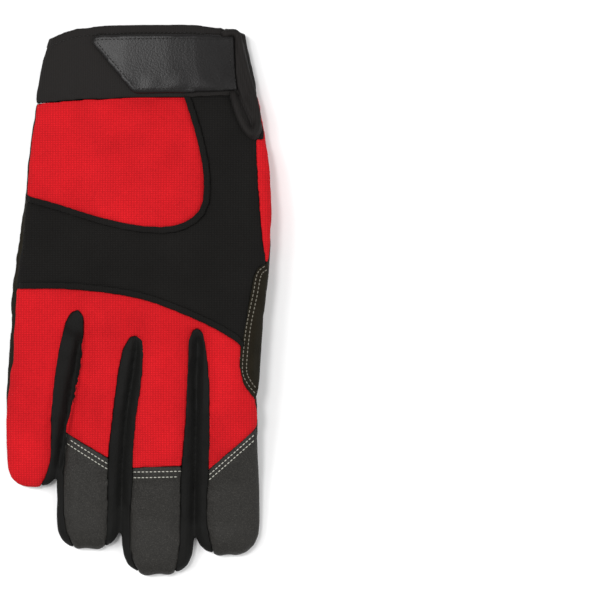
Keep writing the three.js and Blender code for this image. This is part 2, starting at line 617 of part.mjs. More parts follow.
const glove = new THREE.Group();
glove.name = 'mechanic_glove';
Object.entries(pieces).forEach(([name, { solid, material }]) => {
  const { vertProperties, triVerts } = largest(solid).getMesh();
  const geometry = new THREE.BufferGeometry();
  geometry.setAttribute('position', new THREE.BufferAttribute(new Float32Array(vertProperties), 3));
  geometry.setIndex(new THREE.BufferAttribute(new Uint32Array(triVerts), 1));
  geometry.computeVertexNormals();
  const finish = new THREE.MeshStandardMaterial({ ...MATERIALS[material], metalness: 0 });
  const mesh = new THREE.Mesh(geometry, finish);
  mesh.name = name;
  glove.add(mesh);
});

// The glove stands at the centre of its own box
const box = new THREE.Box3().setFromObject(glove);
const middleOfBox = box.getCenter(new THREE.Vector3());
glove.position.set(-middleOfBox.x, -middleOfBox.y, -box.min.z);

export default glove;
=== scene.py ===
import math

import bmesh
import bpy
import numpy as np
from mathutils import Matrix, Vector, noise
from mathutils.bvhtree import BVHTree
from mathutils.kdtree import KDTree


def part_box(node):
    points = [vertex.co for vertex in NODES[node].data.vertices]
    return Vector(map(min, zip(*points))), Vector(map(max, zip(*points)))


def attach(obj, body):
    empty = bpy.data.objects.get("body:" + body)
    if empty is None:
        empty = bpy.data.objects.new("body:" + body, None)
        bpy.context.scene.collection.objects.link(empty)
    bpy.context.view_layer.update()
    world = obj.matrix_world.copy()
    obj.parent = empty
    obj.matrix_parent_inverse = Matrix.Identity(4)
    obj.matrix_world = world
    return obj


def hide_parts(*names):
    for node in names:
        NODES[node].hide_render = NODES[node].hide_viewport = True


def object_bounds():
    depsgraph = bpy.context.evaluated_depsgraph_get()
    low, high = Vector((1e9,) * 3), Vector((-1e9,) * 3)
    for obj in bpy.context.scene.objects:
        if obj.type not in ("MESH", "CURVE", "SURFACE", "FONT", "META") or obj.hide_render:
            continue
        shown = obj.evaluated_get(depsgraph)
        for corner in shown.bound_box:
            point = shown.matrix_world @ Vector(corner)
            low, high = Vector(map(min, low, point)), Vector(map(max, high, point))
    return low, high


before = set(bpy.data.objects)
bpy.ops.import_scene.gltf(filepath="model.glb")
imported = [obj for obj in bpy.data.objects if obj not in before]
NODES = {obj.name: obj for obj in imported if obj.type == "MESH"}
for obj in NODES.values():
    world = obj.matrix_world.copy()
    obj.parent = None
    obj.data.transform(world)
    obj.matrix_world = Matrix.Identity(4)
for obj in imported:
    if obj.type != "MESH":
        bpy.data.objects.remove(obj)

bl_info = {
    "name": "Mechanic glove",
    "version": (1, 0, 0),
    "blender": (4, 5, 0),
    "location": "View3D > Sidebar > Glove",
    "description": "Dresses a right-hand mechanic glove in knit, leather, neoprene and suede",
    "category": "Object",
}

CAD_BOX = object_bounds()
GLOVE_WIDTH = CAD_BOX[1].x - CAD_BOX[0].x
GLOVE_LENGTH = CAD_BOX[1].y - CAD_BOX[0].y
MM = 0.001

# The panels that make the glove's skin, and what each is cut from
PANELS = {
    "cuff_band": "cuff_neoprene",
    "thumb_saddle": "palm_suede",
    "thumb_back_panel": "red_knit",
    "thumb_front_panel": "palm_suede",
    "side_strip_little_ring": "side_spandex",
    "side_strip_ring_middle": "side_spandex",
    "side_strip_middle_index": "side_spandex",
    "fingertip_ring": "tip_leather",
    "fingertip_middle": "tip_leather",
    "fingertip_index": "tip_leather",
    "back_panel_upper": "red_knit",
    "back_panel_lower": "red_knit",
    "palm_panel": "palm_suede",
    "knuckle_band": "black_knit",
}

HEEL_CELLS = ("heel_pad_inner_cell", "heel_pad_middle_cell", "heel_pad_outer_cell")

# Lines of stitches seen from above, as (across, along) shares of the glove's width and length
CAP_STITCHES_BACK = {
    "fingertip_ring": [[(0.221, 0.7455), (0.4, 0.7995)], [(0.221, 0.7555), (0.4, 0.8095)]],
    "fingertip_middle": [[(0.468, 0.8105), (0.676, 0.8085)], [(0.468, 0.821), (0.676, 0.8185)]],
    "fingertip_index": [[(0.958, 0.733), (0.757, 0.82)], [(0.958, 0.743), (0.757, 0.829)]],
}
CAP_STITCHES_PALM = {
    "fingertip_ring": [[(0.205, 0.832), (0.4, 0.838)], [(0.205, 0.842), (0.4, 0.847)]],
    "fingertip_middle": [[(0.465, 0.8395), (0.67, 0.8465)], [(0.465, 0.849), (0.67, 0.856)]],
    "fingertip_index": [
        [(0.763, 0.804), (0.852, 0.7945), (0.95, 0.799)],
        [(0.763, 0.814), (0.852, 0.8045), (0.95, 0.809)],
    ],
}
SADDLE_BACK_EDGE = [
    (0.987, 0.432), (0.946, 0.448), (0.928, 0.488), (0.903, 0.547), (0.89, 0.603), (0.89, 0.632),
    (0.912, 0.654), (0.942, 0.672),
]
SADDLE_PALM_EDGE = [
    (0.946, 0.396), (0.916, 0.416), (0.888, 0.439), (0.853, 0.464), (0.83, 0.491), (0.822, 0.515),
    (0.845, 0.538), (0.879, 0.562), (0.886, 0.611), (0.901, 0.64), (0.935, 0.661),
]
STRAP_EDGE = [
    (0.856, 0.022), (0.772, 0.019), (0.594, 0.018), (0.364, 0.02), (0.341, 0.023), (0.329, 0.032),
    (0.481, 0.121), (0.498, 0.124), (0.701, 0.122), (0.871, 0.118), (0.862, 0.065), (0.856, 0.022),
]
HEEL_EDGE = [
    (0.614, 0.212), (0.584, 0.199), (0.513, 0.181), (0.435, 0.175), (0.341, 0.177), (0.263, 0.184),
    (0.192, 0.199), (0.144, 0.226), (0.112, 0.26), (0.092, 0.305), (0.082, 0.347), (0.082, 0.381),
    (0.1, 0.403), (0.155, 0.419), (0.248, 0.437), (0.341, 0.452), (0.442, 0.457), (0.56, 0.461),
]
HEEL_SEAMS = {
    "inner": [(0.354, 0.191), (0.405, 0.244), (0.483, 0.295), (0.61, 0.359)],
    "outer": [(0.124, 0.291), (0.192, 0.313), (0.3, 0.34), (0.442, 0.373), (0.59, 0.406)],
}
PALM_PAD_EDGE = [
    (0.558, 0.481), (0.341, 0.464), (0.226, 0.452), (0.121, 0.438), (0.076, 0.439), (0.052, 0.453),
    (0.043, 0.475), (0.045, 0.522), (0.065, 0.54), (0.106, 0.547), (0.233, 0.544), (0.276, 0.552),
    (0.298, 0.59), (0.31, 0.64), (0.345, 0.663), (0.39, 0.663), (0.42, 0.647), (0.436, 0.591),
    (0.461, 0.573), (0.508, 0.575), (0.545, 0.608), (0.575, 0.66), (0.621, 0.674), (0.668, 0.663),
    (0.69, 0.6), (0.681, 0.517), (0.629, 0.486), (0.558, 0.481),
]
THUMB_PATCH_STITCHES = [[(0.558, 0.515), (0.6175, 0.506)], [(0.558, 0.522), (0.6175, 0.515)]]
# The middle of the thick roll that runs from the hem's end round the slit
LIP_ROLL = [
    (0.825, 0.0165), (0.85, 0.0135), (0.872, 0.0175), (0.884, 0.0439), (0.906, 0.0862), (0.932, 0.1283),
    (0.947, 0.1613), (0.948, 0.1825), (0.932, 0.198), (0.909, 0.192), (0.885, 0.1715), (0.868, 0.148),
    (0.857, 0.1283),
]
SLIT_BOTTOM = [(0.841, 0.065), (0.879, 0.127), (0.915, 0.168), (0.934, 0.19)]
# Where two fingers lie against each other, from the knuckles to where they part
CREASES = [
    [(0.2825, 0.565), (0.261, 0.634), (0.24, 0.69), (0.218, 0.748), (0.2, 0.8)],
    [(0.498, 0.58), (0.483, 0.64), (0.4625, 0.695), (0.4495, 0.755), (0.439, 0.825), (0.4375, 0.87)],
    [(0.7265, 0.575), (0.721, 0.64), (0.719, 0.7), (0.7155, 0.757), (0.7125, 0.83), (0.71, 0.9)],
]
# The dents at the ends of the ring, middle and index fingers
TIP_NOTCHES = [(0.304, 0.954), (0.573, 1.0), (0.84, 0.963)]
HEM_SEAM = [
    (0.174, 0.037), (0.218, 0.029), (0.271, 0.022), (0.375, 0.017), (0.517, 0.015), (0.7, 0.015),
    (0.82, 0.022), (0.9, 0.035),
]


def linear(code):
    """An sRGB hex colour as the linear colour that Blender's sockets take."""
    parts = [int(code[i : i + 2], 16) / 255 for i in (1, 3, 5)]
    return tuple(c / 12.92 if c <= 0.04045 else ((c + 0.055) / 1.055) ** 2.4 for c in parts) + (1.0,)


def size(name, description, default):
    """A length that a user can set in the sidebar."""
    return bpy.props.FloatProperty(
        name=name,
        description=description,
        default=default,
        min=0.0,
        subtype="DISTANCE",
        unit="LENGTH",
        precision=5,
    )


def colour(name, description, code):
    """A colour that a user can set in the sidebar."""
    return bpy.props.FloatVectorProperty(
        name=name,
        description=description,
        default=linear(code),
        size=4,
        min=0.0,
        max=1.0,
        subtype="COLOR",
    )


class GloveSizes(bpy.types.PropertyGroup):
    """Sizes of the cloth, the seams and the thread"""

    cloth_grid: size("Cloth grid", "Spacing of the points that a panel is made of", 0.00066)
    skin_grid: size("Skin grid", "Spacing of the points of the smooth skin that the panels follow", 0.0014)
    seam_depth: size("Seam depth", "How far the cloth is drawn in at a seam", 0.0007)
    seam_reach: size("Seam reach", "How far from a seam the cloth is drawn in", 0.0022)
    pucker_pitch: size("Pucker pitch", "Distance between two puckers along a seam", 0.0065)
    fold_height: size("Fold height", "Height of the soft folds of the back", 0.0006)
    crease_depth: size("Crease depth", "How far the cloth dips where two fingers meet", 0.0018)
    crease_reach: size("Crease reach", "Half the width of that dip", 0.0012)
    notch_depth: size("Notch depth", "How far a fingertip is dented at its end", 0.0009)
    side_turn: size("Side turn", "How much of the palm's suede shows beside the back", 0.0022)
    roll_thickness: size("Roll thickness", "Thickness of the rolled edge of the slit", 0.0034)
    stitch_length: size("Stitch length", "Length of one stitch on the surface", 0.0013)
    stitch_gap: size("Stitch gap", "Distance between two stitches of a row", 0.0004)
    thread: size("Thread", "Thickness of the sewing thread", 0.0005)
    palm_thread: size("Palm thread", "Thickness of the thread of the heel and palm patches", 0.0006)
    knit_pitch: size("Knit pitch", "Distance between two ribs of the knit", 0.00118)
    leather_grain: size("Leather grain", "Width of one pebble of the leather's grain", 0.00064)
    pad_grain: size("Pad grain", "Width of one pebble of the patches' embossing", 0.0016)
    suede_nap: size("Suede nap", "Width of the mottling of the suede", 0.0015)


class GloveColours(bpy.types.PropertyGroup):
    """Colours of the glove's materials"""

    red_knit: colour("Red knit", "Back panels of the glove", "#C61A21")
    black_knit: colour("Black knit", "Band over the knuckles", "#1A1918")
    neoprene: colour("Neoprene", "Cuff", "#1A1817")
    strap_leather: colour("Strap leather", "Wrist strap", "#191818")
    tip_leather: colour("Fingertip leather", "Fingertips", "#21201E")
    spandex: colour("Spandex", "Strips between the fingers", "#10100F")
    suede: colour("Suede", "Palm, thumb front and thumb saddle", "#1A1710")
    pad: colour("Pad", "Heel and palm patches", "#1A1B1B")
    light_thread: colour("Light thread", "Stitches of the fingertips and the patches", "#ACACA2")
    dim_thread: colour("Dim thread", "Stitches of the thumb saddle", "#6B665C")
    dark_thread: colour("Dark thread", "Stitches of the strap and the hem", "#161514")
    floor: colour("Floor", "Pale studio floor", "#F2F2F2")


def sizes():
    """The sizes as the user has set them."""
    return bpy.context.scene.glove_sizes


def colours():
    """The colours as the user has set them."""
    return bpy.context.scene.glove_colours


# Materials

COURSE_SHARE = 0.85  # height of a knit's course, as a share of its ribs' pitch
FUZZ_SHARE = 0.6  # width of a knit's loose fibres, as a share of that pitch
CLOUD_WIDTH = 22 * MM  # broad unevenness of the dyed knit
KNIT_RELIEF = 0.25 * MM
LEATHER_CREASES = 9 * MM  # width of the soft creases under the grain
SPECK_SHARE = 0.45  # width of a light speck on leather, as a share of its grain
BRUSHED_SHARE = 6  # width of a brushed patch of suede, as a share of its nap
FIBRE_SHARE = 0.4  # width of a tuft of it
SUEDE_RELIEF = 0.15 * MM
NEOPRENE_RIBS = 0.8 * MM
SPANDEX_RIBS = 0.6 * MM
STRETCH_FUZZ = 0.7 * MM
STRETCH_RELIEF = 0.12 * MM
THREAD_TWIST = 0.5 * MM
PAPER_TOOTH = 3 * MM
BANDS_IN_A_TURN = 20  # how the Wave node counts its bands


def add_node(material, kind, sockets=None, **options):
    """Adds a node, sets its options, and fills its sockets with values or with other nodes' outputs."""
    node = material.node_tree.nodes.new(kind)
    for option, value in options.items():
        setattr(node, option, value)
    for socket, value in (sockets or {}).items():
        if isinstance(value, bpy.types.NodeSocket):
            material.node_tree.links.new(value, node.inputs[socket])
        else:
            node.inputs[socket].default_value = value
    return node


def start_material(name, roughness, sheen=0.0, specular=0.5, tint=(1.0, 1.0, 1.0, 1.0)):
    """A new material, its shader with the values that are the same all over, and the place on the piece."""
    material = bpy.data.materials.new(name)
    material.use_nodes = True
    shader = next(n for n in material.node_tree.nodes if n.type == "BSDF_PRINCIPLED")
    shader.inputs["Roughness"].default_value = roughness
    shader.inputs["Sheen Weight"].default_value = sheen
    shader.inputs["Sheen Tint"].default_value = tint
    shader.inputs["Specular IOR Level"].default_value = specular
    shader.inputs["IOR"].default_value = 1.5
    return material, shader, add_node(material, "ShaderNodeTexCoord").outputs["Object"]


def join(material, output, socket):
    """Links an output to a socket."""
    material.node_tree.links.new(output, socket)


def between(source, low, high, start=0.0, end=1.0):
    """The Map Range node's sockets that turn low to high of the source into start to end."""
    return {0: source, 1: low, 2: high, 3: start, 4: end}


def shades(material, base, dark, light, factor):
    """A colour that runs from a darker to a lighter shade of the base as the factor goes from 0 to 1."""
    low = tuple(c * dark for c in base[:3]) + (1.0,)
    high = tuple(min(1.0, c * light) for c in base[:3]) + (1.0,)
    mix = add_node(material, "ShaderNodeMix", {0: factor, 6: low, 7: high}, data_type="RGBA")
    return mix.outputs[2]


def add_relief(material, shader, height, depth):
    """Lets the light play on a pattern as if it stood that deep in the surface."""
    bump = add_node(material, "ShaderNodeBump", {"Strength": 1.0, "Distance": depth, "Height": height})
    join(material, bump.outputs["Normal"], shader.inputs["Normal"])


def bands(pitch):
    """The Wave node's scale that repeats at that pitch."""
    return 2 * math.pi / BANDS_IN_A_TURN / pitch


def knit_material(name, base, pitch):
    """Knit polyester: ribs and courses make a fine grid, matt, with a soft sheen where it turns away, its
    colour painted darker in the grid's grooves as shade.
    """
    material, shader, place = start_material(name, 0.9, sheen=0.03, specular=0.06, tint=base)
    rib = {"Vector": place, "Scale": bands(pitch)}
    course = {"Vector": place, "Scale": bands(pitch * COURSE_SHARE)}
    fibre = {"Vector": place, "Scale": 1 / (pitch * FUZZ_SHARE), "Detail": 3.0}
    cloud = {"Vector": place, "Scale": 1 / CLOUD_WIDTH, "Detail": 3.0}
    ribs = add_node(material, "ShaderNodeTexWave", rib, bands_direction="X").outputs["Fac"]
    courses = add_node(material, "ShaderNodeTexWave", course, bands_direction="Y").outputs["Fac"]
    fuzz = add_node(material, "ShaderNodeTexNoise", fibre).outputs["Fac"]
    clouds = add_node(material, "ShaderNodeTexNoise", cloud).outputs["Fac"]
    grid = add_node(material, "ShaderNodeMath", {0: ribs, 1: courses}, operation="MULTIPLY").outputs[0]
    both = add_node(material, "ShaderNodeMath", {0: grid, 1: fuzz}, operation="ADD").outputs[0]
    half = add_node(material, "ShaderNodeMath", {0: both, 1: 0.5}, operation="MULTIPLY").outputs[0]
    # painted shade: the grid's grooves darker and its tops lighter, following the relief
    painted_groove_shade = shades(material, base, 0.5, 1.22, half)
    broad = add_node(material, "ShaderNodeMapRange", between(clouds, 0.3, 0.7, 0.86, 1.06)).outputs[0]
    tone = add_node(material, "ShaderNodeVectorMath", {0: painted_groove_shade, 3: broad}, operation="SCALE")
    join(material, tone.outputs[0], shader.inputs["Base Color"])
    add_relief(material, shader, half, KNIT_RELIEF)
    return material


def leather_material(name, base, grain, roughness, depth, gloss, speckle):
    """Coated synthetic leather: a fine pebbled grain with a soft gloss and light specks on its pebbles."""
    material, shader, place = start_material(name, roughness, specular=gloss)
    pebble = {"Vector": place, "Scale": 1 / grain}
    crease = {"Vector": place, "Scale": 1 / LEATHER_CREASES, "Detail": 5.0}
    speck = {"Vector": place, "Scale": 1 / (SPECK_SHARE * grain), "Detail": 1.0}
    pebbles = add_node(material, "ShaderNodeTexVoronoi", pebble, feature="SMOOTH_F1").outputs["Distance"]
    creases = add_node(material, "ShaderNodeTexNoise", crease).outputs["Fac"]
    grit = add_node(material, "ShaderNodeTexNoise", speck).outputs["Fac"]
    rounded = add_node(material, "ShaderNodeMapRange", between(pebbles, 0.1, 0.8, 1.0, 0.0)).outputs[0]
    specks = add_node(material, "ShaderNodeMapRange", between(grit, 0.56, 0.68, 1.0, speckle)).outputs[0]
    height = add_node(material, "ShaderNodeMath", {0: rounded, 1: creases}, operation="ADD").outputs[0]
    grained = shades(material, base, 0.8, 1.15, rounded)
    tone = add_node(material, "ShaderNodeVectorMath", {0: grained, 3: specks}, operation="SCALE")
    join(material, tone.outputs[0], shader.inputs["Base Color"])
    add_relief(material, shader, height, depth)
    return material


def suede_material(name, base, nap):
    """Synthetic suede: a short nap brushed this way and that, so it is mottled and has no gloss."""
    material, shader, place = start_material(name, 0.95, sheen=0.05, specular=0.05)
    patch = {"Vector": place, "Scale": 1 / (BRUSHED_SHARE * nap), "Detail": 6.0}
    tuft = {"Vector": place, "Scale": 1 / (FIBRE_SHARE * nap), "Detail": 2.0}
    brushed = add_node(material, "ShaderNodeTexNoise", patch).outputs["Fac"]
    fibres = add_node(material, "ShaderNodeTexNoise", tuft).outputs["Fac"]
    both = add_node(material, "ShaderNodeMath", {0: brushed, 1: fibres}, operation="ADD").outputs[0]
    mottled = add_node(material, "ShaderNodeMapRange", between(both, 0.7, 1.3)).outputs[0]
    join(material, shades(material, base, 0.78, 1.25, mottled), shader.inputs["Base Color"])
    add_relief(material, shader, both, SUEDE_RELIEF)
    return material


def stretch_material(name, base, pitch):
    """Spandex or knit-faced neoprene: very fine ribs along the limb and a slight sheen, the ribs' grooves
    painted darker as shade.
    """
    material, shader, place = start_material(name, 0.7, sheen=0.01, specular=0.1)
    rib = {"Vector": place, "Scale": bands(pitch)}
    fibre = {"Vector": place, "Scale": 1 / STRETCH_FUZZ, "Detail": 3.0}
    ribs = add_node(material, "ShaderNodeTexWave", rib, bands_direction="X").outputs["Fac"]
    fuzz = add_node(material, "ShaderNodeTexNoise", fibre).outputs["Fac"]
    both = add_node(material, "ShaderNodeMath", {0: ribs, 1: fuzz}, operation="ADD").outputs[0]
    half = add_node(material, "ShaderNodeMath", {0: both, 1: 0.5}, operation="MULTIPLY").outputs[0]
    # painted shade: the ribs' grooves darker, following the relief
    join(material, shades(material, base, 0.7, 1.25, half), shader.inputs["Base Color"])
    add_relief(material, shader, half, STRETCH_RELIEF)
    return material


def thread_material(name, base):
    """Bonded polyester thread: slightly glossy, with a painted highlight on the crown of each twist."""
    material, shader, place = start_material(name, 0.5, specular=0.25)
    turn = {"Vector": place, "Scale": bands(THREAD_TWIST)}
    painted_twist_highlight = add_node(material, "ShaderNodeTexWave", turn, bands_direction="DIAGONAL").outputs["Fac"]
    # painted highlight: the crown of each twist lighter
    join(material, shades(material, base, 0.8, 1.1, painted_twist_highlight), shader.inputs["Base Color"])
    return material


def floor_material(name, base):
    """Pale matt paper, with a tooth that hardly shows."""
    material, shader, place = start_material(name, 0.9, specular=0.1)
    grain = {"Vector": place, "Scale": 1 / PAPER_TOOTH, "Detail": 2.0}
    tooth = add_node(material, "ShaderNodeTexNoise", grain).outputs["Fac"]
    join(material, shades(material, base, 0.995, 1.005, tooth), shader.inputs["Base Color"])
    return material


def strap_finish():
    """Smooth coated leather with a soft gloss."""
    s = sizes()
    return leather_material(
        "coated_strap_leather",
        colours().strap_leather,
        grain=s.leather_grain,
        roughness=0.32,
        depth=0.03 * MM,
        gloss=0.13,
        speckle=1.2,
    )


def tip_finish():
    """Rough coated leather, greyed by light specks on its grain."""
    s = sizes()
    return leather_material(
        "coated_fingertip_leather",
        colours().tip_leather,
        grain=s.leather_grain,
        roughness=0.6,
        depth=0.1 * MM,
        gloss=0.14,
        speckle=2.8,
    )


def pad_finish():
    """Rubbery embossed leather of the patches, with broad shallow pebbles."""
    s = sizes()
    return leather_material(
        "embossed_grip_leather",
        colours().pad,
        grain=s.pad_grain,
        roughness=0.5,
        depth=0.05 * MM,
        gloss=0.2,
        speckle=1.0,
    )


MATERIALS = {}


def finish_for(slot_name):
    """The material of one of the record's slots, of a thread or of the floor, made once."""
    c, s = colours(), sizes()
    makers = {
        "red_knit": lambda: knit_material("red_polyester_knit", c.red_knit, s.knit_pitch),
        "black_knit": lambda: knit_material("black_polyester_knit", c.black_knit, s.knit_pitch),
        "cuff_neoprene": lambda: stretch_material("knit_faced_neoprene", c.neoprene, NEOPRENE_RIBS),
        "side_spandex": lambda: stretch_material("elastane_spandex", c.spandex, SPANDEX_RIBS),
        "strap_leather": strap_finish,
        "tip_leather": tip_finish,
        "palm_suede": lambda: suede_material("palm_synthetic_suede", c.suede, s.suede_nap),
        "pad_grip": pad_finish,
        "light_thread": lambda: thread_material("light_polyester_thread", c.light_thread),
        "dim_thread": lambda: thread_material("tan_polyester_thread", c.dim_thread),
        "dark_thread": lambda: thread_material("black_polyester_thread", c.dark_thread),
        "floor": lambda: floor_material("matt_studio_paper", c.floor),
    }
    if slot_name not in MATERIALS:
        MATERIALS[slot_name] = makers[slot_name]()
    return MATERIALS[slot_name]


# Cloth

BACK_SIDE = 1
PALM_SIDE = -1
MERGE_DISTANCE = 0.01 * MM
OWNER_GRID = 1.6 * MM  # spacing of the points that tell which panel a place belongs to
JOIN_SWELL = 0.4 * MM  # joins the panels into one skin across their seams
SKIN_ROUNDS = 30  # of smoothing all over the skin
HAND_ROUNDS = 70  # more of it for the hand, which is flatter than the fingers
HAND_STEPS = (0.6, -0.612)
HAND_ENDS = (0.46, 0.56)  # shares of the glove's length between which the hand turns into fingers
FOLDS_START = (0.12, 0.2)  # the same for the cuff, which has no folds, and the back
FOLD_WIDTH = 16 * MM
FOLD_LENGTH = 30 * MM
PUCKER_HEIGHT = 0.5 * MM
PUCKER_SPREAD = 3  # how far from a seam the puckers reach, in reaches of the seam
PLAN_CELL = 4 * MM  # side of the squares of the plan over which heights are compared
MARK_STEP = 0.5 * MM  # between the points that stand for a crease
CREASE_SPAN = 2 * MM  # height over which a crease goes from the back's side to the palm's
NOTCH_WIDTH = 3.4 * MM
NOTCH_LENGTH = 4 * MM
EDGE_ROW = 4 * MM  # the hand's edge is looked at in rows this long
EDGE_BAND = 0.8 * MM  # and its points are those this near the outermost one
TURN_BELOW = (-3 * MM, -0.5 * MM)  # heights beside the seam between which the cloth starts to turn
TURN_INSIDE = (6 * MM, 25 * MM)  # distances from the edge between which the turn fades out
TURN_STARTS = (0.25, 0.4)  # shares of the glove's length
TURN_ENDS = (0.6, 0.72)
NEIGHBOURS = 5  # points of the skin that a point of a panel follows
NEAREST = 0.1 * MM  # keeps the weight of a point that is hit exactly finite
TINY = 1e-9  # keeps a direction of no length from being divided by 0
BALLS_IN_A_THICKNESS = 5  # how close together the balls of a roll are


def across_to_x(across):
    """A share of the glove's width as a place."""
    return (across - 0.5) * GLOVE_WIDTH


def along_to_y(along):
    """A share of the glove's length, from the wrist, as a place."""
    return (0.5 - along) * GLOVE_LENGTH


def along_of(points):
    """The points' shares of the glove's length, from the wrist."""
    return 0.5 - points[:, 1] / GLOVE_LENGTH


def ramp(value, start, end):
    """0 before the start, 1 after the end, with a smooth slope between."""
    t = np.clip((value - start) / (end - start), 0, 1)
    return t * t * (3 - 2 * t)


def bell(distance, reach):
    """1 at no distance, and next to nothing at twice the reach."""
    return np.exp(-((distance / reach) ** 2))


def merged_copy(node):
    """A copy of a CAD node's mesh with its loose triangles merged into one closed surface."""
    bm = bmesh.new()
    bm.from_mesh(NODES[node].data)
    bmesh.ops.remove_doubles(bm, verts=bm.verts, dist=MERGE_DISTANCE)
    return bm


def mesh_from(bm, name):
    """The bmesh as a mesh of that name."""
    mesh = bpy.data.meshes.new(name)
    bm.to_mesh(mesh)
    bm.free()
    return mesh


def even_grid(bm, spacing):
    """The closed surface again, made of an even grid of faces."""
    mesh = mesh_from(bm, "grid")
    obj = bpy.data.objects.new("grid", mesh)
    bpy.context.scene.collection.objects.link(obj)
    remesh = obj.modifiers.new("grid", "REMESH")
    remesh.mode = "VOXEL"
    remesh.voxel_size = spacing
    bpy.context.view_layer.update()
    result = bpy.data.meshes.new_from_object(obj.evaluated_get(bpy.context.evaluated_depsgraph_get()))
    bpy.data.objects.remove(obj)
    bpy.data.meshes.remove(mesh)
    return result


def values_of(items, attribute, width, kind=float):
    """An attribute of all the items, one row for each."""
    flat = np.zeros(len(items) * width, kind)
    items.foreach_get(attribute, flat)
    return flat.reshape(-1, width)


def points_of(mesh):
    """The places of the mesh's points."""
    return values_of(mesh.vertices, "co", 3)


def edges_of(mesh):
    """The two points of each of the mesh's edges."""
    return values_of(mesh.edges, "vertices", 2, np.int64)


def move_points(mesh, points):
    """Gives the mesh's points new places."""
    mesh.vertices.foreach_set("co", points.astype(np.float32).ravel())
    mesh.update()


def set_points(mesh, points):
    """Gives the mesh's points new places, none of them below the table."""
    points[:, 2] = np.maximum(points[:, 2], 0)
    move_points(mesh, points)


def kd_tree(points):
    """A tree that finds the points next to a place."""
    tree = KDTree(len(points))
    for i, p in enumerate(points):
        tree.insert(p, i)
    tree.balance()
    return tree


def relaxed(points, edges, rounds, forth=0.5, back=-0.53):
    """Smooths the points. A negative second step keeps the size, and 0 lets edges round off."""
    total = len(points)
    start = np.concatenate((edges[:, 0], edges[:, 1]))
    end = np.concatenate((edges[:, 1], edges[:, 0]))
    count = np.maximum(np.bincount(start, minlength=total), 1)[:, None]
    for _ in range(rounds):
        for factor in (forth, back):
            if factor != 0:
                sums = [np.bincount(start, weights=points[end, axis], minlength=total) for axis in range(3)]
                points = points + factor * (np.stack(sums, 1) / count - points)
    return points


def swell(bm, distance):
    """Moves the surface outwards, so that two panels meet at their seam."""
    bm.normal_update()
    for v in bm.verts:
        v.co += v.normal * distance


def plan_distance(points, lines):
    """How far each point is, seen from above, from the nearest of the lines."""
    tree = kd_tree([(p.x, p.y, 0) for line in lines for p in smooth_line(line, MARK_STEP)])
    return np.array([tree.find((x, y, 0))[2] for x, y in points[:, :2]])


def middle_height(points):
    """The height half way between the back and the palm at each point, from cells of the plan."""
    cell = np.round(points[:, :2] / PLAN_CELL).astype(int)
    _, place = np.unique(cell, axis=0, return_inverse=True)
    place = place.ravel()
    low = np.full(place.max() + 1, np.inf)
    high = -low
    np.minimum.at(low, place, points[:, 2])
    np.maximum.at(high, place, points[:, 2])
    return ((low + high) / 2)[place]


def side_turn(points):
    """How far the back is drawn in at the little finger's edge, so that the palm's suede comes into view."""
    rows, place = np.unique(np.round(points[:, 1] / EDGE_ROW), return_inverse=True)
    place = place.ravel()
    edge = np.full(len(rows), np.inf)
    np.minimum.at(edge, place, points[:, 0])
    outermost = points[:, 0] < edge[place] + EDGE_BAND
    seam = np.bincount(place[outermost], weights=points[outermost, 2], minlength=len(rows))
    seam /= np.maximum(np.bincount(place[outermost], minlength=len(rows)), 1)
    inside = points[:, 0] - np.interp(points[:, 1], rows * EDGE_ROW, edge)
    above = points[:, 2] - np.interp(points[:, 1], rows * EDGE_ROW, seam)
    along = along_of(points)
    amount = sizes().side_turn * ramp(along, *TURN_STARTS) * (1 - ramp(along, *TURN_ENDS))
    shift = np.zeros_like(points)
    shift[:, 0] = amount * ramp(above, *TURN_BELOW) * (1 - ramp(inside, *TURN_INSIDE))
    return shift


def shaping(points):
    """How far points of the skin move for the creases between the fingers and the dents of the tips."""
    s = sizes()
    shift = side_turn(points)
    side = np.clip((points[:, 2] - middle_height(points)) / CREASE_SPAN, -1, 1)
    shift[:, 2] -= s.crease_depth * bell(plan_distance(points, CREASES), s.crease_reach) * side
    for across, along in TIP_NOTCHES:
        beside = bell(points[:, 0] - across_to_x(across), NOTCH_WIDTH)
        ahead = bell(points[:, 1] - along_to_y(along), NOTCH_LENGTH)
        shift[:, 1] += s.notch_depth * beside * ahead
    return shift


def joined_panels():
    """All the panels as one surface, swollen until they run into each other at their seams."""
    whole = bmesh.new()
    for node in PANELS:
        bm = merged_copy(node)
        swell(bm, JOIN_SWELL)
        part = mesh_from(bm, "part")
        whole.from_mesh(part)
        bpy.data.meshes.remove(part)
    return whole


def calmed(points, edges):
    """The skin's points smoothed, those of the hand more than those of the fingers."""
    smooth = relaxed(points, edges, SKIN_ROUNDS)
    calmer = relaxed(smooth, edges, HAND_ROUNDS, *HAND_STEPS)
    fingers = ramp(along_of(points), *HAND_ENDS)[:, None]
    return calmer + (smooth - calmer) * fingers


def seam_distance(rest, smooth, edges):
    """How far each point of the smooth skin is from the nearest seam between two panels."""
    places, owners = [], []
    for number, node in enumerate(PANELS):
        grid = even_grid(merged_copy(node), OWNER_GRID)
        places.append(points_of(grid))
        owners += [number] * len(grid.vertices)
        bpy.data.meshes.remove(grid)
    tree = kd_tree(np.concatenate(places))
    panel = np.array([owners[tree.find(p)[1]] for p in rest])
    border = panel[edges[:, 0]] != panel[edges[:, 1]]
    seam = kd_tree((smooth[edges[border, 0]] + smooth[edges[border, 1]]) / 2)
    return np.array([seam.find(p)[2] for p in smooth])


def lift_of(points, distance):
    """How far the cloth rises from the smooth skin: in at the seams, puckered beside them, softly folded."""
    s = sizes()
    drawn = bell(distance, s.seam_reach)
    beside = bell(distance, PUCKER_SPREAD * s.seam_reach)
    pucker = np.array([noise.noise(Vector(p) / s.pucker_pitch) for p in points])
    fold = np.array([noise.noise(Vector(p)) for p in points / (FOLD_WIDTH, FOLD_LENGTH, FOLD_LENGTH)])
    fold *= ramp(along_of(points), *FOLDS_START)
    return -s.seam_depth * drawn + PUCKER_HEIGHT * pucker * beside + s.fold_height * fold


SKIN = {}


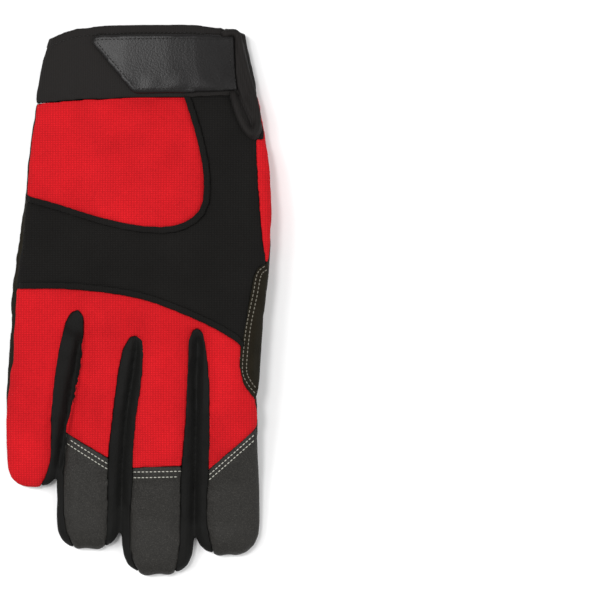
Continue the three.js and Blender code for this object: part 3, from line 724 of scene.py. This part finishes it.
def skin():
    """The glove's whole skin as one smooth surface: a tree of its points, and how far each one moved."""
    if not SKIN:
        mesh = even_grid(joined_panels(), sizes().skin_grid)
        rest, edges = points_of(mesh), edges_of(mesh)
        smooth = calmed(rest, edges)
        lift = lift_of(smooth, seam_distance(rest, smooth, edges))
        move_points(mesh, smooth)
        normals = values_of(mesh.vertices, "normal", 3)
        SKIN["shift"] = smooth - rest + normals * lift[:, None] + shaping(smooth)
        SKIN["tree"] = kd_tree(rest)
    return SKIN


def follow_skin(points):
    """Moves points as the skin next to them moved."""
    field = skin()
    shift, tree = field["shift"], field["tree"]
    moved = np.array(points)
    for i, p in enumerate(points):
        near = tree.find_n(p, NEIGHBOURS)
        weights = np.array([1 / (d + NEAREST) ** 2 for _, _, d in near])
        moved[i] += (shift[[k for _, k, _ in near]] * weights[:, None]).sum(0) / weights.sum()
    return moved


def soft_mesh(node, spacing, rounding, seam_gap=0.2 * MM, calm=0):
    """A CAD node's mesh on an even grid, drawn onto the smooth skin, with its edges rounded."""
    bm = merged_copy(node)
    swell(bm, seam_gap)
    mesh = even_grid(bm, spacing)
    edges = edges_of(mesh)
    points = relaxed(follow_skin(points_of(mesh)), edges, calm)
    set_points(mesh, relaxed(points, edges, rounding, back=0))
    return mesh


def pressed(mesh, distance):
    """Draws a piece that runs round the hand in towards the middle of its own section."""
    points = points_of(mesh)
    low, high = points.min(0), points.max(0)
    middle, half = (low + high) / 2, (high - low) / 2
    out = (points - middle) / half**2
    out[:, 1] = 0
    out /= np.linalg.norm(out, axis=1)[:, None] + TINY
    set_points(mesh, points - out * distance)
    return mesh


def tucked(mesh, reach, left=0.0, right=0.0):
    """Draws the side ends of a piece inwards that far, so that they vanish into the side seam."""
    points = points_of(mesh)
    low, high = points[:, 0].min(), points[:, 0].max()
    points[:, 0] += left * (1 - ramp(points[:, 0], low, low + reach))
    points[:, 0] -= right * ramp(points[:, 0], high - reach, high)
    set_points(mesh, points)
    return mesh


def spread(mesh, middle, distance):
    """Moves a piece that far away from a middle, seen from above."""
    points = points_of(mesh)
    away = points[:, :2] - middle
    points[:, :2] += away / np.linalg.norm(away, axis=1)[:, None] * distance
    set_points(mesh, points)
    return mesh


def add_roll(bm, tree, line, thickness, rise, beside=0.0):
    """Adds a round roll along a line of the plan, at a height above the cloth that lies to its right."""
    path = smooth_line(line, thickness / BALLS_IN_A_THICKNESS)
    for p, guide in zip(path, moved_aside(path, beside)):
        hit = touch(tree, guide, BACK_SIDE)[0]
        if hit is not None:
            place = Matrix.Translation((p.x, p.y, hit.z + rise))
            bmesh.ops.create_uvsphere(bm, u_segments=12, v_segments=8, radius=thickness / 2, matrix=place)


def melted(bm, spacing, rounding):
    """The bodies in the mesh as one, with their meeting lines rounded."""
    mesh = even_grid(bm, spacing)
    set_points(mesh, relaxed(points_of(mesh), edges_of(mesh), rounding, back=0))
    return mesh


def place_piece(name, mesh, slot_name, *nodes):
    """Puts a finished mesh in the scene as the piece that stands for those CAD nodes."""
    mesh.name = name
    obj = bpy.data.objects.new(name, mesh)
    bpy.context.scene.collection.objects.link(obj)
    mesh.materials.clear()
    mesh.materials.append(finish_for(slot_name))
    mesh.shade_smooth()
    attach(obj, "root")
    if nodes:
        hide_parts(*nodes)
    return obj


def dress_panel(node, rounding=3, seam_gap=0.2 * MM):
    """Turns one of the skin's panels into cloth or leather."""
    mesh = soft_mesh(node, sizes().cloth_grid, rounding, seam_gap)
    return place_piece(node.replace("_panel", "") + "_cloth", mesh, PANELS[node], node)


# Stitches

LINE_STEP = 0.2 * MM  # between two points of a line that is sewn
CURVE_STEPS = 12  # from one point of a table to the next
CLOSED_GAP = 0.5 * MM  # a line whose ends are nearer than this is a loop
NEEDLE_HEIGHT = 0.1  # metres above or below the table, clear of the glove
STEEPEST = 1.5  # rise under a stitch, in stitch lengths, past which it is left out
UPRIGHT = 0.15  # cloth that stands more upright than this isn't sewn
STITCH_HEIGHT = 0.45  # half a stitch's height, as a share of the thread
STITCH_RISE = 0.12  # its middle above the cloth, as a share of the thread


def curve_point(a, b, c, d, t):
    """The point at a share t of the way from b to c, on a smooth curve that passes through all four."""
    return 0.5 * (
        2 * b + (c - a) * t + (2 * a - 5 * b + 4 * c - d) * t * t + (3 * b - a - 3 * c + d) * t**3
    )


def evenly(dense, spacing):
    """Points that far apart along a line of close points."""
    even, left = [dense[0]], 0.0
    for p, q in zip(dense, dense[1:]):
        step = (q - p).length
        while step > 0 and left + step >= spacing:
            p = p.lerp(q, (spacing - left) / step)
            even.append(p)
            step = (q - p).length
            left = 0.0
        left += step
    return even


def smooth_line(line, spacing=LINE_STEP):
    """A rounded line through the points of the plan, as points that far apart, in metres."""
    knots = [Vector((across_to_x(a), along_to_y(b))) for a, b in line]
    if len(knots) == 2:
        return evenly(knots, spacing)
    closed = (knots[0] - knots[-1]).length < CLOSED_GAP
    ends = [knots[-2], *knots, knots[1]] if closed else [knots[0], *knots, knots[-1]]
    dense = []
    for a, b, c, d in zip(ends, ends[1:], ends[2:], ends[3:]):
        dense += [curve_point(a, b, c, d, k / CURVE_STEPS) for k in range(CURVE_STEPS)]
    return evenly([*dense, knots[-1]], spacing)


def moved_aside(line, distance):
    """The line again, that far to its right."""
    out = []
    for i, p in enumerate(line):
        d = (line[min(i + 1, len(line) - 1)] - line[max(i - 1, 0)]).normalized()
        out.append(p + Vector((d.y, -d.x)) * distance)
    return out


def tree_of(names):
    """The surface of those pieces, to cast rays at."""
    bm = bmesh.new()
    for name in names:
        bm.from_mesh(bpy.data.objects[name].data)
    tree = BVHTree.FromBMesh(bm)
    bm.free()
    return tree


def touch(tree, point, side):
    """Where a needle that comes from that side of the glove first meets the cloth."""
    start = Vector((point.x, point.y, NEEDLE_HEIGHT * side))
    return tree.ray_cast(start, Vector((0, 0, -side)))


def add_stitch(bm, a, b, up, thread):
    """Lays one stitch from a to b on cloth that faces up."""
    along = (b - a).normalized()
    across = along.cross(up).normalized()
    up = across.cross(along).normalized()
    turn = Matrix((along, across, up)).transposed().to_4x4()
    stretch = Matrix.Diagonal(((b - a).length / 2, thread / 2, thread * STITCH_HEIGHT, 1))
    place = Matrix.Translation((a + b) / 2 + up * thread * STITCH_RISE) @ turn @ stretch
    poles = Matrix.Rotation(math.pi / 2, 4, "Y")
    bmesh.ops.create_uvsphere(bm, u_segments=6, v_segments=4, radius=1.0, matrix=place @ poles)


def sew(bm, tree, line, side, thread=None, beside=0.0):
    """Lays a row of stitches along a line of the plan, at the height of the cloth that lies to its right."""
    s = sizes()
    guide = moved_aside(line, beside)
    per_stitch = max(2, round(s.stitch_length / LINE_STEP))
    per_step = per_stitch + max(1, round(s.stitch_gap / LINE_STEP))
    for i in range(0, len(line) - per_stitch, per_step):
        a, normal_a = touch(tree, guide[i], side)[:2]
        b, normal_b = touch(tree, guide[i + per_stitch], side)[:2]
        if a is None or b is None or abs((a - b).z) > STEEPEST * s.stitch_length:
            continue
        up = (normal_a + normal_b).normalized()
        if abs(up.z) >= UPRIGHT:
            start = Vector((*line[i], a.z))
            end = Vector((*line[i + per_stitch], b.z))
            add_stitch(bm, start, end, up, thread or s.thread)


def sew_inside(bm, tree, edge, insets, side, thread=None):
    """Lays rows of stitches that far inside an edge of the plan."""
    for inset in insets:
        sew(bm, tree, moved_aside(smooth_line(edge), -inset), side, thread)


def place_stitches(name, bm, slot_name):
    """Puts a group of stitches in the scene."""
    return place_piece(name, mesh_from(bm, name), slot_name)


# Pieces

FINE_GRID = 0.5 * MM  # spacing of the points of the narrow pieces
PATCH_GRID = 0.6 * MM  # and of the thick ones
TUCK_REACH = 5 * MM  # how far from its ends a piece is drawn into the side seam
HEM_PRESS = 0.9 * MM
HEM_TUCK_LEFT = 0.3 * MM
HEM_TUCK_RIGHT = 1.2 * MM
ROLL_RISE = 0.42  # the roll's middle above the cloth, as a share of its thickness
SLIT_BOTTOM_THICKNESS = 0.8  # shares of the roll's thickness
SLIT_BOTTOM_RISE = -0.6
SLIT_BOTTOM_BESIDE = 2.5 * MM
PIPING_SWELL = 0.4 * MM
PIPING_TUCK = 1.7 * MM
PIPING_OVERLAP = 0.5 * MM  # how far the upper piping moves out over the black band
CELL_SWELL = 0.9 * MM
HEEL_INSETS = (1.3 * MM, 3.3 * MM)
HEEL_SEAM_BESIDE = 1.6 * MM  # stitches over a channel lie at the height of the cell this far off
PATCH_INSETS = (1.2 * MM, 3.4 * MM)
SADDLE_INSETS = (0.6 * MM, 2.4 * MM)
STRAP_INSETS = (1.8 * MM,)


class GLOVE_OT_back(bpy.types.Operator):
    """Dress the red back panels and the black band between them"""

    bl_idname = "glove.back"
    bl_label = "Back panels"

    def execute(self, context):
        dress_panel("back_panel_upper", rounding=4, seam_gap=0.0)
        dress_panel("back_panel_lower", rounding=4)
        dress_panel("knuckle_band", rounding=4, seam_gap=0.3 * MM)
        return {"FINISHED"}


class GLOVE_OT_thumb(bpy.types.Operator):
    """Dress the thumb's red back, its suede front and the suede saddle round its crotch"""

    bl_idname = "glove.thumb"
    bl_label = "Thumb"

    def execute(self, context):
        for node in ("thumb_back_panel", "thumb_front_panel", "thumb_saddle"):
            dress_panel(node)
        return {"FINISHED"}


class GLOVE_OT_cuff(bpy.types.Operator):
    """Dress the neoprene cuff, its folded hem and the rolled edge of its slit"""

    bl_idname = "glove.cuff"
    bl_label = "Cuff"

    def execute(self, context):
        dress_panel("cuff_band")
        hem = pressed(soft_mesh("cuff_hem", FINE_GRID, rounding=3, calm=8), HEM_PRESS)
        hem = tucked(hem, TUCK_REACH, HEM_TUCK_LEFT, HEM_TUCK_RIGHT)
        place_piece("cuff_hem_fold", hem, "cuff_neoprene", "cuff_hem")
        tree = tree_of(["cuff_band_cloth", "knuckle_band_cloth", "thumb_back_cloth"])
        roll = sizes().roll_thickness
        bottom = SLIT_BOTTOM_THICKNESS * roll
        bm = bmesh.new()
        bm.from_mesh(soft_mesh("slit_binding", FINE_GRID, rounding=3, calm=8))
        add_roll(bm, tree, LIP_ROLL, roll, ROLL_RISE * roll)
        add_roll(bm, tree, SLIT_BOTTOM, bottom, SLIT_BOTTOM_RISE * roll, SLIT_BOTTOM_BESIDE)
        place_piece("slit_lips", melted(bm, FINE_GRID, rounding=4), "cuff_neoprene", "slit_binding")
        return {"FINISHED"}


class GLOVE_OT_strap(bpy.types.Operator):
    """Dress the leather wrist strap"""

    bl_idname = "glove.strap"
    bl_label = "Wrist strap"

    def execute(self, context):
        mesh = soft_mesh("wrist_strap", PATCH_GRID, rounding=3, calm=20)
        place_piece("strap_tab", mesh, "strap_leather", "wrist_strap")
        return {"FINISHED"}


class GLOVE_OT_piping(bpy.types.Operator):
    """Dress the raised seams round the red panels"""

    bl_idname = "glove.piping"
    bl_label = "Piping"

    def execute(self, context):
        low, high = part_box("back_panel_upper")
        middle = ((low.x + high.x) / 2, (low.y + high.y) / 2)
        for node, right, outwards in (("upper_piping", 0, PIPING_OVERLAP), ("lower_piping", PIPING_TUCK, 0)):
            mesh = soft_mesh(node, FINE_GRID, rounding=4, seam_gap=PIPING_SWELL, calm=6)
            mesh = spread(tucked(mesh, TUCK_REACH, PIPING_TUCK, right), middle, outwards)
            place_piece(node + "_seam", mesh, "black_knit", node)
        return {"FINISHED"}


class GLOVE_OT_side_strips(bpy.types.Operator):
    """Dress the stretch strips between the fingers"""

    bl_idname = "glove.side_strips"
    bl_label = "Side strips"

    def execute(self, context):
        for node in PANELS:
            if node.startswith("side_strip"):
                dress_panel(node, rounding=6, seam_gap=0.3 * MM)
        return {"FINISHED"}


class GLOVE_OT_fingertips(bpy.types.Operator):
    """Dress the leather fingertips"""

    bl_idname = "glove.fingertips"
    bl_label = "Fingertips"

    def execute(self, context):
        for node in CAP_STITCHES_BACK:
            dress_panel(node)
        return {"FINISHED"}


class GLOVE_OT_palm(bpy.types.Operator):
    """Dress the suede palm and the patch under the fingers' roots"""

    bl_idname = "glove.palm"
    bl_label = "Palm"

    def execute(self, context):
        dress_panel("palm_panel")
        patch = soft_mesh("palm_pad", PATCH_GRID, rounding=4, calm=60)
        place_piece("palm_patch", patch, "pad_grip", "palm_pad")
        return {"FINISHED"}


class GLOVE_OT_heel(bpy.types.Operator):
    """Dress the foam cells of the heel of the hand"""

    bl_idname = "glove.heel"
    bl_label = "Heel pads"

    def execute(self, context):
        for name in HEEL_CELLS:
            node = name.replace("_cell", "")
            mesh = soft_mesh(node, PATCH_GRID, rounding=5, seam_gap=CELL_SWELL, calm=60)
            piece = place_piece(name, mesh, "pad_grip", node)
        return {"FINISHED"}


class GLOVE_OT_stitches(bpy.types.Operator):
    """Sew the rows of stitches onto the cloth"""

    bl_idname = "glove.stitches"
    bl_label = "Stitches"

    def execute(self, context):
        bm = bmesh.new()
        for rows, side in ((CAP_STITCHES_BACK, BACK_SIDE), (CAP_STITCHES_PALM, PALM_SIDE)):
            for node, lines in rows.items():
                tip = tree_of([node + "_cloth"])
                for line in lines:
                    sew(bm, tip, smooth_line(line), side)
        place_stitches("fingertip_stitches", bm, "light_thread")

        bm = bmesh.new()
        thread = sizes().palm_thread
        heel = tree_of(HEEL_CELLS)
        sew_inside(bm, heel, HEEL_EDGE, HEEL_INSETS, PALM_SIDE, thread)
        for line in HEEL_SEAMS.values():
            sew(bm, heel, smooth_line(line), PALM_SIDE, thread, HEEL_SEAM_BESIDE)
        sew_inside(bm, tree_of(["palm_patch"]), PALM_PAD_EDGE, PATCH_INSETS, PALM_SIDE, thread)
        thumb = tree_of(["thumb_front_cloth"])
        for line in THUMB_PATCH_STITCHES:
            sew(bm, thumb, smooth_line(line), PALM_SIDE)
        place_stitches("palm_stitches", bm, "light_thread")

        bm = bmesh.new()
        saddle = tree_of(["thumb_saddle_cloth"])
        sew_inside(bm, saddle, SADDLE_BACK_EDGE, SADDLE_INSETS, BACK_SIDE)
        sew_inside(bm, saddle, SADDLE_PALM_EDGE, SADDLE_INSETS, PALM_SIDE)
        place_stitches("saddle_stitches", bm, "dim_thread")

        bm = bmesh.new()
        sew_inside(bm, tree_of(["strap_tab"]), STRAP_EDGE, STRAP_INSETS, BACK_SIDE)
        cuff = tree_of(["cuff_hem_fold", "cuff_band_cloth"])
        for side in (BACK_SIDE, PALM_SIDE):
            sew(bm, cuff, smooth_line(HEM_SEAM), side)
        place_stitches("cuff_stitches", bm, "dark_thread")
        return {"FINISHED"}


# Stage

FLOOR_HALF_WIDTH = 2.0
FLOOR_DROP = 0.2 * MM  # keeps the floor clear of the faces that rest on it
WORLD_STRENGTH = 0.5
# Soft square lamps, all aimed at the middle of the glove, in metres and watts
LIGHTS = {
    "top_light": {"spot": (-0.36, 0.28, 2.3), "width": 0.35, "energy": 20},
    "key_light": {"spot": (-1.05, 0.35, 1.75), "width": 0.9, "energy": 24},
    "fill_light": {"spot": (1.4, -0.5, 1.6), "width": 1.8, "energy": 22},
}
# The camera looks straight down from the thumb's side, so that the glove is left of the picture's middle
CAMERA_SPOT = (0.0719, 0.0003, 2.0)
SENSOR_WIDTH = 36
PICTURE_WIDTH = 0.2656  # what the picture takes in, at the height of the glove's back
PICTURE_LEVEL = 0.018


class GLOVE_OT_stage(bpy.types.Operator):
    """Lay out the pale floor, the soft light and the camera over the glove"""

    bl_idname = "glove.stage"
    bl_label = "Stage"

    def execute(self, context):
        scene = context.scene
        bm = bmesh.new()
        bmesh.ops.create_grid(bm, x_segments=2, y_segments=2, size=FLOOR_HALF_WIDTH)
        mesh = mesh_from(bm, "studio_floor")
        mesh.transform(Matrix.Translation((0, 0, -FLOOR_DROP)))
        mesh.materials.append(finish_for("floor"))
        floor = bpy.data.objects.new("studio_floor", mesh)
        scene.collection.objects.link(floor)
        world = bpy.data.worlds.new("studio")
        world.use_nodes = True
        background = next(n for n in world.node_tree.nodes if n.type == "BACKGROUND")
        background.inputs["Color"].default_value = (1, 1, 1, 1)
        background.inputs["Strength"].default_value = WORLD_STRENGTH
        scene.world = world
        for name, light in LIGHTS.items():
            lamp = bpy.data.lights.new(name, "AREA")
            lamp.size = light["width"]
            lamp.energy = light["energy"]
            obj = bpy.data.objects.new(name, lamp)
            obj.location = light["spot"]
            obj.rotation_euler = (-Vector(light["spot"])).to_track_quat("-Z", "Y").to_euler()
            scene.collection.objects.link(obj)
        camera = bpy.data.cameras.new("picture_camera")
        camera.sensor_width = SENSOR_WIDTH
        camera.lens = SENSOR_WIDTH * (CAMERA_SPOT[2] - PICTURE_LEVEL) / PICTURE_WIDTH
        obj = bpy.data.objects.new("picture_camera", camera)
        obj.location = CAMERA_SPOT
        scene.collection.objects.link(obj)
        scene.camera = obj
        scene.view_settings.view_transform = "Standard"
        return {"FINISHED"}


class GLOVE_PT_panel(bpy.types.Panel):
    """Lists the glove's pieces, sizes and colours"""

    bl_idname = "GLOVE_PT_panel"
    bl_label = "Mechanic glove"
    bl_space_type = "VIEW_3D"
    bl_region_type = "UI"
    bl_category = "Glove"

    def draw(self, context):
        for operator in OPERATORS:
            self.layout.operator(operator.bl_idname)
        for group in (context.scene.glove_sizes, context.scene.glove_colours):
            box = self.layout.box()
            for name in group.__annotations__:
                box.prop(group, name)


OPERATORS = (
    GLOVE_OT_back,
    GLOVE_OT_thumb,
    GLOVE_OT_cuff,
    GLOVE_OT_strap,
    GLOVE_OT_piping,
    GLOVE_OT_side_strips,
    GLOVE_OT_fingertips,
    GLOVE_OT_palm,
    GLOVE_OT_heel,
    GLOVE_OT_stitches,
    GLOVE_OT_stage,
)
CLASSES = (GloveSizes, GloveColours, *OPERATORS, GLOVE_PT_panel)


def register():
    """Adds the classes, and the sizes and colours to the scene."""
    for cls in CLASSES:
        bpy.utils.register_class(cls)
    bpy.types.Scene.glove_sizes = bpy.props.PointerProperty(type=GloveSizes)
    bpy.types.Scene.glove_colours = bpy.props.PointerProperty(type=GloveColours)


def unregister():
    """Takes away what register adds."""
    del bpy.types.Scene.glove_sizes
    del bpy.types.Scene.glove_colours
    for cls in reversed(CLASSES):
        bpy.utils.unregister_class(cls)


def main():
    """Dresses the glove piece by piece and lays out the stage."""
    register()
    bpy.ops.glove.back()
    bpy.ops.glove.thumb()
    bpy.ops.glove.cuff()
    bpy.ops.glove.strap()
    bpy.ops.glove.piping()
    bpy.ops.glove.side_strips()
    bpy.ops.glove.fingertips()
    bpy.ops.glove.palm()
    bpy.ops.glove.heel()
    bpy.ops.glove.stitches()
    bpy.ops.glove.stage()


if __name__ == "__main__":
    main()
